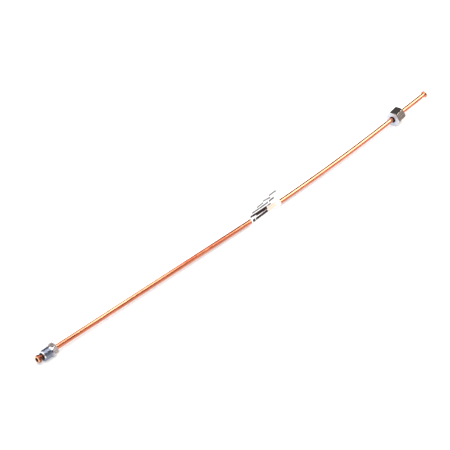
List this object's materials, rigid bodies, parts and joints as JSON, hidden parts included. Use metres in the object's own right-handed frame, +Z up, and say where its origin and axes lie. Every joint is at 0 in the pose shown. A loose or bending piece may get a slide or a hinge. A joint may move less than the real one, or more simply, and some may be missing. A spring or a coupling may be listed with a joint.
{
  "type": "brake line",
  "caption": "Gently bent copper brake pipe, flared at both ends, with a male and a female tube nut loose on it and a folded paper label.",
  "frame": {"origin": "on the table, under the middle of the male nut's hexagon: the centre of the flat that it rests on", "axes": "+Z up from the table, +X from the male nut along the near stretch of the pipe towards the female nut"},
  "size_m": [0.5488, 0.0244, 0.0206],
  "materials": {
    "copper": "satin",
    "plated_steel": "satin",
    "plated_steel_far": "satin",
    "label_paper": "matte"
  },
  "bodies": {
    "line": {"pipe": "copper", "label": "label_paper"},
    "male_nut": {"male_nut": "plated_steel"},
    "female_nut": {"female_nut": "plated_steel_far"}
  },
  "joints": [
    {"name": "male_nut_slide", "type": "slide", "parent": "line", "child": "male_nut", "axis": [1, 0, -0.0051], "range_m": [-0.0024, 0.232]},
    {"name": "female_nut_slide", "type": "slide", "parent": "line", "child": "female_nut", "axis": [0.9974, 0.0671, 0.0253], "range_m": [-0.024, 0.05]}
  ]
}
